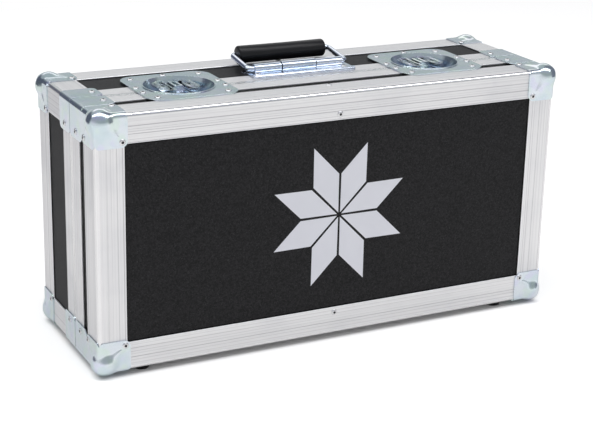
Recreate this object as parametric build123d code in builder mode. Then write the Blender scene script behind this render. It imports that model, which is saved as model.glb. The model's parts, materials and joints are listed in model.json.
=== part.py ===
from build123d import *
import os

# A guitar pedal flight case that stands on its hinge side: a deep base tray and a shallow
# front lid of laminated board, edged with double-wall aluminium bars, closed by two
# recessed butterfly latches and carried by a folding handle on the top side.
# Millimetres; +Z up, lid towards -Y, origin under the middle of the case on the floor.

os.makedirs("parts", exist_ok=True)

# ---------------------------------------------------------------- driving dimensions
case_w = 520.0            # over the aluminium, left to right
case_d = 172.0            # over the aluminium, lid face to back
case_h = 263.0            # over the aluminium, hinge side to handle side
lid_d = 68.0              # lid face to parting plane
part_gap = 0.4            # open line between the two rims when shut
foot_h = 6.0              # rubber feet lift the aluminium this far

panel_t = 7.0             # laminated board
slot_play = 0.2           # board to slot
edge_play = 0.3           # board edge to the web of its slot

bar_wall = 1.5            # outer wall of every bar
bar_web = 1.2             # inner webs and lips
face_leg = 30.0           # leg on the front and back faces, and across the depth bars
side_leg = 32.0           # leg of the front and back bars on the four sides
lip_reach = 20.0          # inner lips, measured from the outer face
bar_round = 4.0           # rounded outer edge
corner_open = 12.0        # bars stop short of the corner, inside the ball

rim_leg = 24.0            # rim bars, measured from the parting plane
rim_block = 5.4           # solid mating edge of the rim bars
tongue_in = 4.0           # outer face to tongue
tongue_t = 2.0
tongue_h = 3.0
groove_play = 0.8         # each side of the tongue, room for the lid to swing
groove_deep = 4.0

ball_leg = 33.0           # flats of the ball corners
ball_r = 14.0             # pressed ball
ball_inset = 9.0          # ball centre in from the three faces
ridge_tip = 21.5          # ridges run out of the ball towards the rivets, to here
ridge_tip_r = 0.6
ridge_root_r = 13.0
ridge_root = 5.0          # ridge's wide end from the ball's centre
sheet_t = 1.2             # pressed sheet of corners, braces and latches
ball_tip_r = 7.0          # rounded inner tip of each flat
rivet_in = 27.5           # rivets in from the edges of the case

brace_leg = 35.0
brace_gap = 0.5           # brace to ball corner, and brace to parting plane
base_brace_l = 30.0

latch_in = 117.0          # latch centre in from the side of the case
latch_back = 10.0         # plate centre behind the parting plane
plate_w = 98.0
plate_l = 100.0
plate_r = 17.0
pocket_r = 36.0
pocket_floor_r = 31.0
pocket_round = 4.0        # pressed round at the foot of the wall
pocket_d = 13.0
pocket_lip = 0.8
cutout_play = 0.6         # board and bars to the latch pocket

rotor_back = 8.0          # butterfly centre behind the plate centre
spindle_r = 3.0
throw = 2.5               # eccentric offset, so the draw plate moves twice this
eccentric_r = 7.0
eccentric_play = 0.8
eccentric_past = 0.5      # eccentric below the draw plate
flange_rim = 0.7          # flange beyond the eccentric
flange_t = 2.0
flange_lift = 1.0         # flange above the draw plate
spindle_head_r = 5.5
spindle_head_t = 1.5
saddle_t = 1.3            # strap between the ears
ear_t = 2.0
ear_half_x = 5.5
wing_pin_x = 3.2
wing_pin_r = 1.0
wing_knuckle_r = 1.9
wing_knuckle_half = 8.0
wing_pin_z = -0.9         # below the outer face of the case
wing_t = 1.8
wing_gap = 1.0            # wing plate to the ears
wing_reach = 22.0
wing_half_l = 20.0
wing_round = 11.0
run_play = 0.05           # pins and shafts in their bores, on the radius
free_play = 0.3           # pieces that move past each other

draw_half_w = 13.0
ledge_w = 2.4             # ledges that carry the draw plate
draw_t = 2.0
draw_z = -8.5             # mid-plane of draw plate and hook
draw_tail = 4.7           # plate behind its slot
draw_nose = 3.9           # plate before its slot
draw_corner = 4.0
slot_corner = 2.0
hook_pin_r = 1.0
hook_knuckle_r = 2.0
hook_lug_half = 5.0
hook_reach = 18.0         # pivot to outer face of the claw
claw_t = 2.0
claw_drop = 3.5           # mid-plane to claw tip
hook_lift_deg = 13.0      # hook stands clear of the strike when the latch is open
strike_t = 1.5
strike_play = 0.4         # strike under the hook

handle_back = 98.0        # barrel axis behind the lid face
barrel_r = 5.0
barrel_z = 5.2            # barrel axis above the case
bracket_w = 119.0
bracket_t = 1.5
bracket_front = 24.0      # flange before the barrel axis
bracket_rear = 18.0
bracket_r = 8.0
rib_in = 14.0             # rib of the front flange before the barrel axis
rib_w = 7.0
rib_h = 1.4
barrel_in = 8.5           # its barrel in from its ends
roll_half = 19.5          # the barrel's middle roll, wider than its two end rolls
roll_over = 0.6
roll_gap = 0.9
rod_r = 3.0
rod_round = 5.5
bail_in = 2.5             # rod arms in from the bracket's ends
rod_in = 22.0             # rod ends inside the barrel
grip_back = 42.0          # grip axis behind the barrel axis
grip_z = 11.0             # grip axis above the case
grip_r = 9.4
grip_in = 6.0             # grip's ends in from the arms
grip_end_r = 2.0

hinge_in = 110.0          # hinge's middle in from the side of the case
hinge_w = 50.0
hinge_leaf = 21.0
hinge_t = 1.2
knuckle_r = 2.5
hinge_pin_r = 1.2
hinge_head_r = 2.0
hinge_head_t = 0.8
knuckle_gap = 0.3

foot_r = 9.0
foot_taper = 1.0
foot_from_end = 50.0
foot_hole_r = 3.6
foot_floor = 2.5          # rubber under the rivet
foam_t = 10.0
foam_edge = 1.0           # foam in from the bars' lips

rivet_r = 3.2
rivet_sides = 12
rivet_taper = 40.0
rivet_h = 1.1
face_rivet_in = 24.0      # middle rivets of the long bars, in from the edge
leg_rivet_in = 27.0
latch_rivet_x = 37.5      # corner rivets of a latch plate, from its middle
latch_rivet_y = 38.0
latch_rear_y = 43.5       # its rivet behind the pocket
latch_side_x = 44.3       # its rivets beside the parting line
latch_side_lid = 6.0
latch_side_base = 14.0
bracket_rivet_in = 9.0
bracket_rivet_front = 15.0
bracket_rivet_rear = 5.5
hinge_rivet_x = 17.0
hinge_rivet_y = 13.0

# ---------------------------------------------------------------- derived places
x_out = case_w / 2
latch_offset = x_out - latch_in
hinge_offset = x_out - hinge_in
barrel_half = bracket_w / 2 - barrel_in
bracket_rivet_x = bracket_w / 2 - bracket_rivet_in
bail_half = bracket_w / 2 - bail_in
grip_half = bail_half - grip_in
y_front = -case_d / 2
y_back = case_d / 2
y_part = y_front + lid_d
z_low = foot_h
z_top = foot_h + case_h
slot = panel_t + slot_play
channel = bar_wall + slot + bar_web          # outer face to the inner side of the bars
board_in = bar_wall + slot_play / 2          # outer face to the board
edge_in = channel + edge_play                # outer face to a board's edge
RIGHT = Vector(1, 0, 0)
BACK = Vector(0, 1, 0)
UP = Vector(0, 0, 1)
mid_height = Plane.XY.offset((z_low + z_top) / 2)


def save(piece, name):
    piece.part.label = name
    export_step(piece.part, f"parts/{name}.step")


def board(low, high):
    """A flat block between two opposite corners."""
    size = high - low
    with Locations((low + high) / 2):
        Box(size.X, size.Y, size.Z)


# ---------------------------------------------------------------- double-wall edge bars
def leg_on(direction):
    return side_leg if abs(direction.Y) > 0.5 else face_leg


def edge_bar(corner, run, length, leg_a, leg_b, far_corner=True):
    """Double-angle bar from a corner of the case, its legs reaching inward along leg_a
    and leg_b, mitred against the two bars that meet it at each case corner."""
    across = leg_a.cross(leg_b)
    with BuildSketch(Plane(origin=corner + run * corner_open, x_dir=leg_a, z_dir=across)) as section:
        Rectangle(leg_on(leg_a), bar_wall, align=Align.MIN)
        Rectangle(bar_wall, leg_on(leg_b), align=Align.MIN)
        Rectangle(channel, channel, align=Align.MIN)
        with Locations((bar_wall, bar_wall)):
            Rectangle(slot, slot, align=Align.MIN, mode=Mode.SUBTRACT)
        with Locations((bar_wall + slot, bar_wall + slot)):
            Rectangle(lip_reach - bar_wall - slot, bar_web, align=Align.MIN)
            Rectangle(bar_web, lip_reach - bar_wall - slot, align=Align.MIN)
        fillet(vertices().sort_by_distance((bar_wall, bar_wall))[0], bar_round - bar_wall)
        fillet(vertices().sort_by_distance((0, 0))[0], bar_round)
    ends = 2 if far_corner else 1
    way = 1 if across.dot(run) > 0 else -1
    extrude(section.sketch, amount=way * (length - ends * corner_open))
    for leg in (leg_a, leg_b):
        slope = leg * (leg_on(run) / leg_on(leg))
        split(bisect_by=Plane(origin=corner, z_dir=run - slope), keep=Keep.TOP)
        if far_corner:
            split(bisect_by=Plane(origin=corner + run * length, z_dir=-run - slope), keep=Keep.TOP)


def rim_bar(corner, run, length, inward, away, tongue):
    """Rim bar along the parting plane. The base's has a tongue, the lid's a groove."""
    across = inward.cross(away)
    with BuildSketch(Plane(origin=corner, x_dir=inward, z_dir=across)) as section:
        Rectangle(bar_wall, rim_leg - part_gap / 2, align=Align.MIN)
        Rectangle(channel, rim_block, align=Align.MIN)
        with Locations((bar_wall + slot, 0)):
            Rectangle(bar_web, lip_reach - channel + rim_block, align=Align.MIN)
        if tongue:
            with Locations((tongue_in, 0)):
                Rectangle(tongue_t, tongue_h, align=(Align.MIN, Align.MAX))
        else:
            with Locations((tongue_in - groove_play, 0)):
                Rectangle(tongue_t + 2 * groove_play, groove_deep, align=Align.MIN, mode=Mode.SUBTRACT)
    way = 1 if across.dot(run) > 0 else -1
    extrude(section.sketch, amount=way * length)
    split(bisect_by=Plane(origin=corner, z_dir=run - inward), keep=Keep.TOP)
    split(bisect_by=Plane(origin=corner + run * length, z_dir=-run - inward), keep=Keep.TOP)
    add(rim_round.part, mode=Mode.INTERSECT)


def latch_holes(radius):
    """Round openings in the handle side for the two latch pockets."""
    with Locations(*[(side * latch_offset, y_part + latch_back, z_top) for side in (-1, 1)]):
        Cylinder(radius, 4 * pocket_d, mode=Mode.SUBTRACT)


# the case's rounded outline, which the rims' mitred corners follow
with BuildPart() as rim_round:
    board(Vector(-x_out, y_front, z_low), Vector(x_out, y_back, z_top))
    fillet(edges().filter_by(Axis.Y), bar_round)

hole_r = pocket_r + sheet_t + cutout_play

# front frame of the lid and back frame of the base
for shell, y_face, inward_y in (("lid_front", y_front, BACK), ("base_back", y_back, -BACK)):
    with BuildPart() as top_bar:
        edge_bar(Vector(-x_out, y_face, z_top), RIGHT, case_w, inward_y, -UP)
    save(top_bar, f"{shell}_bar_top")
    with BuildPart() as bottom_bar:
        edge_bar(Vector(-x_out, y_face, z_low), RIGHT, case_w, inward_y, UP)
    save(bottom_bar, f"{shell}_bar_bottom")
    with BuildPart() as left_bar:
        edge_bar(Vector(-x_out, y_face, z_low), UP, case_h, inward_y, RIGHT)
    save(left_bar, f"{shell}_bar_left")
    with BuildPart() as right_bar:
        edge_bar(Vector(x_out, y_face, z_low), UP, case_h, inward_y, -RIGHT)
    save(right_bar, f"{shell}_bar_right")

# four short bars along the depth, from each ball corner to the rim
for shell, y_face, run, length in (
    ("lid", y_front, BACK, lid_d - rim_leg),
    ("base", y_back, -BACK, case_d - lid_d - rim_leg),
):
    with BuildPart() as depth_bars:
        edge_bar(Vector(-x_out, y_face, z_low), run, length, RIGHT, UP, far_corner=False)
        mirror(about=Plane.YZ)
        mirror(about=mid_height)
    save(depth_bars, f"{shell}_depth_bars")

# rims: grooved on the lid, tongued on the base
for shell, y_rim, away, tongue in (
    ("lid", y_part - part_gap / 2, -BACK, False),
    ("base", y_part + part_gap / 2, BACK, True),
):
    with BuildPart() as rim_top:
        rim_bar(Vector(-x_out, y_rim, z_top), RIGHT, case_w, -UP, away, tongue)
        latch_holes(hole_r)
    save(rim_top, f"{shell}_rim_top")
    with BuildPart() as rim_bottom:
        rim_bar(Vector(-x_out, y_rim, z_low), RIGHT, case_w, UP, away, tongue)
    save(rim_bottom, f"{shell}_rim_bottom")
    with BuildPart() as rim_end:
        rim_bar(Vector(-x_out, y_rim, z_low), UP, case_h, RIGHT, away, tongue)
        mirror(about=Plane.YZ)
    save(rim_end, f"{shell}_rim_ends")

# ---------------------------------------------------------------- laminated boards
# each board slides into the slots of the bars around it
with BuildPart() as lid_panel_front:
    board(
        Vector(-x_out + edge_in, y_front + board_in, z_low + edge_in),
        Vector(x_out - edge_in, y_front + board_in + panel_t, z_top - edge_in),
    )
save(lid_panel_front, "lid_panel_front")
with BuildPart() as base_panel_back:
    board(
        Vector(-x_out + edge_in, y_back - board_in - panel_t, z_low + edge_in),
        Vector(x_out - edge_in, y_back - board_in, z_top - edge_in),
    )
save(base_panel_back, "base_panel_back")

rim_stop = part_gap / 2 + rim_block + edge_play
for shell, y_a, y_b in (
    ("lid", y_front + edge_in, y_part - rim_stop),
    ("base", y_part + rim_stop, y_back - edge_in),
):
    with BuildPart() as panel_top:
        board(
            Vector(-x_out + edge_in, y_a, z_top - board_in - panel_t),
            Vector(x_out - edge_in, y_b, z_top - board_in),
        )
        latch_holes(hole_r)
    save(panel_top, f"{shell}_panel_top")
    with BuildPart() as panel_bottom:
        board(
            Vector(-x_out + edge_in, y_a, z_low + board_in),
            Vector(x_out - edge_in, y_b, z_low + board_in + panel_t),
        )
    save(panel_bottom, f"{shell}_panel_bottom")
    with BuildPart() as panel_ends:
        for x_a in (-x_out + board_in, x_out - board_in - panel_t):
            board(Vector(x_a, y_a, z_low + edge_in), Vector(x_a + panel_t, y_b, z_top - edge_in))
    save(panel_ends, f"{shell}_panel_ends")

# ---------------------------------------------------------------- ball corners
# Pressed sheet: three flats with rounded tips, a hollow ball over the open corner and a
# ridge from the ball down each flat.
# The pattern is made for a case corner at the origin, the case reaching along +X, +Y, +Z.
with BuildPart() as case_corner:
    board(Vector(0, 0, 0), Vector(2, 2, 2) * ball_leg)
    fillet(edges().sort_by_distance((0, 0, 0))[:3], bar_round)
    Box(2 * corner_open, 2 * corner_open, 2 * corner_open, mode=Mode.SUBTRACT)

with BuildPart() as ball_pattern:
    board(Vector(-1, -1, -1) * sheet_t, Vector(1, 1, 1) * ball_leg)
    fillet(edges().sort_by_distance((0, 0, 0))[-3:], ball_tip_r)
    fillet(edges().sort_by_distance((0, 0, 0))[:3], bar_round + sheet_t)
    ball_at = Vector(1, 1, 1) * ball_inset
    with Locations(ball_at):
        Sphere(ball_r)
    for tip in (
        Vector(ridge_tip, ridge_tip, -sheet_t),
        Vector(ridge_tip, -sheet_t, ridge_tip),
        Vector(-sheet_t, ridge_tip, ridge_tip),
    ):
        way = (tip - ball_at).normalized()
        ridge_l = (tip - ball_at).length - ridge_root
        with Locations(Plane(origin=ball_at + way * ridge_root, z_dir=way)):
            Cone(ridge_root_r, ridge_tip_r, ridge_l, align=(Align.CENTER, Align.CENTER, Align.MIN))
    with Locations(ball_at):
        Sphere(ball_r - sheet_t, mode=Mode.SUBTRACT)
    add(case_corner.part, mode=Mode.SUBTRACT)

with BuildPart() as lid_ball_corners:
    with Locations((-x_out, y_front, z_low)):
        add(ball_pattern.part)
    mirror(about=Plane.YZ)
    mirror(about=mid_height)
save(lid_ball_corners, "lid_ball_corners")
with BuildPart() as base_ball_corners:
    mirror(lid_ball_corners.part, about=Plane.XZ)
save(base_ball_corners, "base_ball_corners")

# angle braces that tie each rim's mitres together
brace_line = part_gap / 2 + brace_gap
for shell, y_a, y_b in (
    ("lid", y_front + ball_leg + brace_gap, y_part - brace_line),
    ("base", y_part + brace_line, y_part + brace_line + base_brace_l),
):
    with BuildPart() as braces:
        board(
            Vector(-x_out - sheet_t, y_a, z_low - sheet_t),
            Vector(-x_out + brace_leg, y_b, z_low + brace_leg),
        )
        outer_edge = edges().filter_by(Axis.Y).sort_by_distance((-x_out, y_a, z_low))[0]
        fillet(outer_edge, bar_round + sheet_t)
        add(rim_round.part, mode=Mode.SUBTRACT)
        tips = edges().filter_by(lambda edge: abs(edge.length - sheet_t) < sheet_t / 10)
        fillet(tips, ball_tip_r - sheet_t)
        mirror(about=Plane.YZ)
        mirror(about=mid_height)
    save(braces, f"{shell}_corner_braces")

# ---------------------------------------------------------------- latches
y_latch = y_part + latch_back
base_side = Plane(origin=(0, y_part + part_gap / 2, 0), z_dir=(0, 1, 0))
lid_side = Plane(origin=(0, y_part - part_gap / 2, 0), z_dir=(0, -1, 0))
floor_z = z_top - pocket_d
draw_mid = z_top + draw_z
y_rotor = y_latch + rotor_back
y_slot = y_rotor - throw                       # draw slot, and the eccentric in it
y_plate_front = y_slot - eccentric_r - eccentric_play - draw_nose
y_tail = y_slot + eccentric_r + eccentric_play + draw_tail
y_pivot = y_plate_front - hook_knuckle_r - free_play
y_strike = y_pivot - hook_reach + claw_t + 2 * throw + free_play
flange_low = draw_mid + draw_t / 2 + flange_lift
ear_low = flange_low + flange_t
ear_y = wing_knuckle_half + free_play
under_pocket = floor_z - sheet_t - free_play
wing_in = ear_half_x + wing_gap
hook_half_w = draw_half_w - ledge_w - 2 * free_play


def latch_shell(x_mid, keep_side):
    """Plate and round pocket of one latch, pressed from one sheet, cut at the parting plane."""
    with BuildSketch(Plane((x_mid, y_latch, z_top))) as plate:
        RectangleRounded(plate_w, plate_l, plate_r)
        Circle(pocket_r, mode=Mode.SUBTRACT)
    extrude(plate.sketch, amount=sheet_t)
    with BuildSketch(Plane(origin=(x_mid, y_latch, z_top), x_dir=(1, 0, 0), z_dir=(0, -1, 0))) as wall:
        with BuildLine():
            Polyline(
                (0, -pocket_d),
                (pocket_floor_r, -pocket_d),
                (pocket_r, sheet_t + pocket_lip),
                (pocket_r + sheet_t, sheet_t + pocket_lip),
                (pocket_r + sheet_t, 0),
                (pocket_floor_r + sheet_t, -pocket_d - sheet_t),
                (0, -pocket_d - sheet_t),
                close=True,
            )
        make_face()
        fillet(vertices().sort_by_distance((pocket_floor_r, -pocket_d))[0], pocket_round)
        outer_foot = (pocket_floor_r + sheet_t, -pocket_d - sheet_t)
        fillet(vertices().sort_by_distance(outer_foot)[0], pocket_round + sheet_t)
    revolve(wall.sketch, axis=Axis((x_mid, y_latch, 0), (0, 0, 1)))
    split(bisect_by=keep_side, keep=Keep.TOP)


for side, x_mid in (("left", -latch_offset), ("right", latch_offset)):
    rotor_at = (x_mid, y_rotor, z_top)

    # pocket on the base, with the guides of the draw plate and the hole of the spindle
    with BuildPart() as latch_dish:
        latch_shell(x_mid, base_side)
        ledge_top = draw_mid - draw_t / 2 - free_play
        rail_in = draw_half_w + free_play
        for hand in (-1, 1):
            rail_end = (x_mid, y_plate_front, floor_z)
            with BuildSketch(Plane(origin=rail_end, x_dir=(hand, 0, 0), z_dir=(0, -hand, 0))):
                with BuildLine():
                    Polyline(
                        (draw_half_w - ledge_w, 0),
                        (draw_half_w - ledge_w, ledge_top - floor_z),
                        (rail_in, ledge_top - floor_z),
                        (rail_in, draw_mid + draw_t - floor_z),
                        (rail_in + sheet_t, draw_mid + draw_t - floor_z),
                        (rail_in + sheet_t, 0),
                        close=True,
                    )
                make_face()
            extrude(amount=-hand * (y_tail - y_plate_front))
        with Locations(rotor_at):
            Cylinder(spindle_r + run_play, 3 * pocket_d, mode=Mode.SUBTRACT)
    save(latch_dish, f"latch_dish_{side}")

    # keeper on the lid, with the strike that the hook pulls on
    with BuildPart() as latch_keeper:
        latch_shell(x_mid, lid_side)
        board(
            Vector(x_mid - hook_half_w, y_strike, floor_z),
            Vector(x_mid + hook_half_w, y_strike + strike_t, draw_mid - draw_t / 2 - strike_play),
        )
    save(latch_keeper, f"latch_keeper_{side}")

    # butterfly rotor: ears for the wings, flange, eccentric and a riveted spindle
    with BuildPart() as latch_rotor:
        with BuildSketch(Plane((x_mid, y_rotor, flange_low))):
            Circle(eccentric_r + throw + flange_rim)
        extrude(amount=flange_t)
        with BuildSketch(Plane((x_mid, y_slot, flange_low))):
            Circle(eccentric_r)
        extrude(amount=draw_mid - draw_t / 2 - eccentric_past - flange_low)
        with BuildSketch(Plane((x_mid, y_rotor, flange_low))):
            Circle(spindle_r)
        extrude(amount=under_pocket - flange_low)
        with BuildSketch(Plane((x_mid, y_rotor, under_pocket))):
            Circle(spindle_head_r)
        extrude(amount=-spindle_head_t)
        board(
            Vector(x_mid - ear_half_x, y_rotor - ear_y - ear_t, ear_low),
            Vector(x_mid + ear_half_x, y_rotor + ear_y + ear_t, ear_low + saddle_t),
        )
        for hand in (-1, 1):
            ear_at = (x_mid, y_rotor + hand * ear_y, z_top + wing_pin_z)
            with BuildSketch(Plane(origin=ear_at, x_dir=(1, 0, 0), z_dir=(0, -1, 0))):
                with Locations((0, (ear_low - z_top - wing_pin_z) / 2)):
                    Rectangle(2 * ear_half_x, z_top + wing_pin_z - ear_low)
                SlotCenterToCenter(2 * wing_pin_x, 2 * wing_knuckle_r)
                with Locations((-wing_pin_x, 0), (wing_pin_x, 0)):
                    Circle(wing_pin_r, mode=Mode.SUBTRACT)
            extrude(amount=-hand * ear_t)
    save(latch_rotor, f"latch_rotor_{side}")

    # the two wings fold up about their own pins and turn the rotor
    for wing, hand in (("a", -1), ("b", 1)):
        pin_plane = Plane(
            origin=(x_mid + hand * wing_pin_x, y_rotor - wing_knuckle_half, z_top + wing_pin_z),
            x_dir=(1, 0, 0),
            z_dir=(0, 1, 0),
        )
        with BuildPart() as latch_wing:
            with BuildSketch(Plane((x_mid, y_rotor, z_top + wing_pin_z - wing_t / 2))):
                with Locations((hand * (wing_reach + wing_in) / 2, 0)):
                    Rectangle(wing_reach - wing_in, 2 * wing_half_l)
                far = vertices().sort_by(Axis((0, 0, 0), (hand, 0, 0)))[-2:]
                fillet(far, wing_round)
                with Locations((hand * (wing_pin_x + wing_in) / 2, 0)):
                    Rectangle(wing_in - wing_pin_x, 2 * wing_knuckle_half)
            extrude(amount=wing_t)
            with BuildSketch(pin_plane):
                Circle(wing_knuckle_r)
            extrude(amount=2 * wing_knuckle_half)
            with BuildSketch(pin_plane):
                Circle(wing_pin_r + run_play)
            extrude(amount=2 * wing_knuckle_half, mode=Mode.SUBTRACT)
        save(latch_wing, f"latch_wing_{side}_{wing}")

    # draw plate: the eccentric in its slot moves it to and fro, the hook hangs on its lug
    with BuildPart() as draw_plate:
        with BuildSketch(Plane((x_mid, 0, draw_mid - draw_t / 2))):
            with Locations((0, (y_plate_front + y_tail) / 2)):
                Rectangle(2 * draw_half_w, y_tail - y_plate_front)
            fillet(vertices().sort_by(Axis.Y)[-2:], draw_corner)
            with Locations((0, y_slot)):
                RectangleRounded(
                    2 * (eccentric_r + throw + eccentric_play), 2 * (eccentric_r + eccentric_play), slot_corner,
                    mode=Mode.SUBTRACT,
                )
            with Locations((0, (y_plate_front + y_pivot) / 2)):
                Rectangle(2 * hook_lug_half, y_plate_front - y_pivot)
        extrude(amount=draw_t)
        with BuildSketch(Plane(origin=(x_mid - hook_lug_half, y_pivot, draw_mid), z_dir=(1, 0, 0))):
            Circle(hook_knuckle_r)
        extrude(amount=2 * hook_lug_half)
        with BuildSketch(Plane(origin=(x_mid - hook_lug_half, y_pivot, draw_mid), z_dir=(1, 0, 0))):
            Circle(hook_pin_r)
        extrude(amount=2 * hook_lug_half, mode=Mode.SUBTRACT)
    save(draw_plate, f"latch_draw_plate_{side}")

    # hook, drawn in its own tilted plane and standing clear of the strike
    tilt = Vector(0, 0, 1).rotate(Axis.X, -hook_lift_deg)
    hook_plane = Plane(origin=(x_mid, y_pivot, draw_mid), x_dir=(1, 0, 0), z_dir=tilt)
    hook_end = Plane(origin=(x_mid - hook_half_w, y_pivot, draw_mid), z_dir=(1, 0, 0))
    with BuildPart() as latch_hook:
        with BuildSketch(hook_plane.offset(-draw_t / 2)):
            with Locations((0, -hook_reach / 2)):
                Rectangle(2 * hook_half_w, hook_reach)
        extrude(amount=draw_t)
        with BuildSketch(hook_plane.offset(-claw_drop)):
            with Locations((0, -hook_reach + claw_t / 2)):
                Rectangle(2 * hook_half_w, claw_t)
        extrude(amount=claw_drop)
        with BuildSketch(hook_end):
            Circle(hook_knuckle_r)
        extrude(amount=2 * hook_half_w)
        with BuildSketch(hook_end.offset(hook_half_w - hook_lug_half - free_play)):
            Circle(hook_knuckle_r + free_play)
        extrude(amount=2 * (hook_lug_half + free_play), mode=Mode.SUBTRACT)
        with BuildSketch(hook_end):
            Circle(hook_pin_r + run_play)
        extrude(amount=2 * hook_half_w, mode=Mode.SUBTRACT)
    save(latch_hook, f"latch_hook_{side}")

    with BuildPart() as hook_pin:
        with BuildSketch(hook_end):
            Circle(hook_pin_r)
        extrude(amount=2 * hook_half_w)
    save(hook_pin, f"latch_hook_pin_{side}")

    with BuildPart() as wing_pins:
        for hand in (-1, 1):
            end = (x_mid + hand * wing_pin_x, y_rotor - ear_y - ear_t, z_top + wing_pin_z)
            with BuildSketch(Plane(origin=end, z_dir=(0, 1, 0))):
                Circle(wing_pin_r)
            extrude(amount=2 * (ear_y + ear_t))
    save(wing_pins, f"latch_wing_pins_{side}")

# ---------------------------------------------------------------- handle
y_barrel = y_front + handle_back
barrel_mid = Plane(origin=(0, y_barrel, z_top + barrel_z), x_dir=(0, 1, 0), z_dir=(1, 0, 0))

with BuildPart() as handle_bracket:
    # one pressed strip: front flange with a rib on the rim, rear flange on the board
    with BuildSketch(Plane(origin=(-bracket_w / 2, y_barrel, z_top), x_dir=(0, 1, 0), z_dir=(1, 0, 0))):
        with BuildLine():
            Polyline(
                (-bracket_front, 0),
                (-barrel_r, 0),
                (-barrel_r, -board_in),
                (bracket_rear, -board_in),
                (bracket_rear, bracket_t - board_in),
                (barrel_r, bracket_t - board_in),
                (barrel_r, bracket_t),
                (-rib_in, bracket_t),
                (-rib_in - rib_h, bracket_t + rib_h),
                (-rib_in - rib_w + rib_h, bracket_t + rib_h),
                (-rib_in - rib_w, bracket_t),
                (-bracket_front, bracket_t),
                close=True,
            )
        make_face()
    extrude(amount=bracket_w)
    for flange_end in (0, -1):
        fillet(edges().filter_by(Axis.Z).group_by(Axis.Y)[flange_end], bracket_r)
    # the barrel is rolled in three lengths
    for roll_from, roll_to, roll_r in (
        (-barrel_half, -roll_half - roll_gap, barrel_r),
        (-roll_half, roll_half, barrel_r + roll_over),
        (roll_half + roll_gap, barrel_half, barrel_r),
    ):
        with BuildSketch(barrel_mid.offset(roll_from)):
            Circle(roll_r)
        extrude(amount=roll_to - roll_from)
    with BuildSketch(barrel_mid.offset(-bracket_w / 2)):
        Circle(rod_r + run_play)
    extrude(amount=bracket_w, mode=Mode.SUBTRACT)
save(handle_bracket, "handle_bracket")

with BuildPart() as handle_bail:
    arm = Vector(0, grip_back, grip_z - barrel_z)
    with BuildLine():
        low_left = Vector(-bail_half, y_barrel, z_top + barrel_z)
        low_right = Vector(bail_half, y_barrel, z_top + barrel_z)
        inward = RIGHT * (bail_half - barrel_half + rod_in)
        FilletPolyline(
            low_left + inward, low_left, low_left + arm, low_right + arm, low_right, low_right - inward,
            radius=rod_round,
        )
    with BuildSketch(Plane(origin=low_left + inward, z_dir=(-1, 0, 0))):
        Circle(rod_r)
    sweep()
save(handle_bail, "handle_bail")

with BuildPart() as handle_grip:
    grip_line = Plane(origin=(0, y_barrel + grip_back, z_top + grip_z), x_dir=(1, 0, 0), z_dir=(0, -1, 0))
    with BuildSketch(grip_line):
        with Locations((0, (grip_r + rod_r) / 2)):
            Rectangle(2 * grip_half, grip_r - rod_r)
        fillet(vertices().group_by(Axis.Y)[-1], grip_end_r)
    revolve(axis=Axis(grip_line.origin, (1, 0, 0)))
save(handle_grip, "handle_grip")

# ---------------------------------------------------------------- hinges under the parting line
axis_z = z_low - knuckle_r - free_play
knuckle_l = (hinge_w - 4 * knuckle_gap) / 5
hinge_mids = (-hinge_offset, hinge_offset)
for shell, hand, turns, bore in (
    ("base", 1, (0, 2, 4), hinge_pin_r),
    ("lid", -1, (1, 3), hinge_pin_r + run_play),
):
    with BuildPart() as hinge_leaves:
        for x_mid in hinge_mids:
            near, far = sorted((hand * (knuckle_r + free_play), hand * hinge_leaf))
            board(
                Vector(x_mid - hinge_w / 2, y_part + near, z_low - hinge_t),
                Vector(x_mid + hinge_w / 2, y_part + far, z_low),
            )
            for turn in turns:
                x_a = x_mid - hinge_w / 2 + turn * (knuckle_l + knuckle_gap)
                near, far = sorted((0, hand * (knuckle_r + 2 * free_play)))
                board(
                    Vector(x_a, y_part + near, axis_z + knuckle_r - hinge_t),
                    Vector(x_a + knuckle_l, y_part + far, axis_z + knuckle_r),
                )
                with BuildSketch(Plane(origin=(x_a, y_part, axis_z), z_dir=(1, 0, 0))):
                    Circle(knuckle_r)
                extrude(amount=knuckle_l)
            with BuildSketch(Plane(origin=(x_mid - hinge_w / 2, y_part, axis_z), z_dir=(1, 0, 0))):
                Circle(bore)
            extrude(amount=hinge_w, mode=Mode.SUBTRACT)
    save(hinge_leaves, f"{shell}_hinge_leaves")

with BuildPart() as hinge_pins:
    for x_mid in hinge_mids:
        with BuildSketch(Plane(origin=(x_mid - hinge_w / 2, y_part, axis_z), z_dir=(1, 0, 0))):
            Circle(hinge_pin_r)
        extrude(amount=hinge_w)
        for hand in (-1, 1):
            with BuildSketch(Plane(origin=(x_mid + hand * hinge_w / 2, y_part, axis_z), z_dir=(hand, 0, 0))):
                Circle(hinge_head_r)
            extrude(amount=hinge_head_t)
save(hinge_pins, "hinge_pins")

# ---------------------------------------------------------------- feet and foam
for shell, y_foot in (("lid", y_front + side_leg / 2), ("base", y_back - side_leg / 2)):
    with BuildPart() as feet:
        for x_foot in (-x_out + foot_from_end, x_out - foot_from_end):
            with Locations(Location((x_foot, y_foot, z_low), (180, 0, 0))):
                Cone(foot_r, foot_r - foot_taper, foot_h, align=(Align.CENTER, Align.CENTER, Align.MIN))
            with BuildSketch(Plane((x_foot, y_foot, foot_h - foot_floor))):
                Circle(foot_hole_r)
            extrude(amount=foot_floor - foot_h, mode=Mode.SUBTRACT)
    save(feet, f"{shell}_feet")

foam_in = lip_reach + foam_edge
foam_seat = board_in + panel_t + free_play
for shell, y_a in (("lid", y_front + foam_seat), ("base", y_back - foam_seat - foam_t)):
    with BuildPart() as foam:
        board(
            Vector(-x_out + foam_in, y_a, z_low + foam_in),
            Vector(x_out - foam_in, y_a + foam_t, z_top - foam_in),
        )
    save(foam, f"{shell}_foam")

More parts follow.
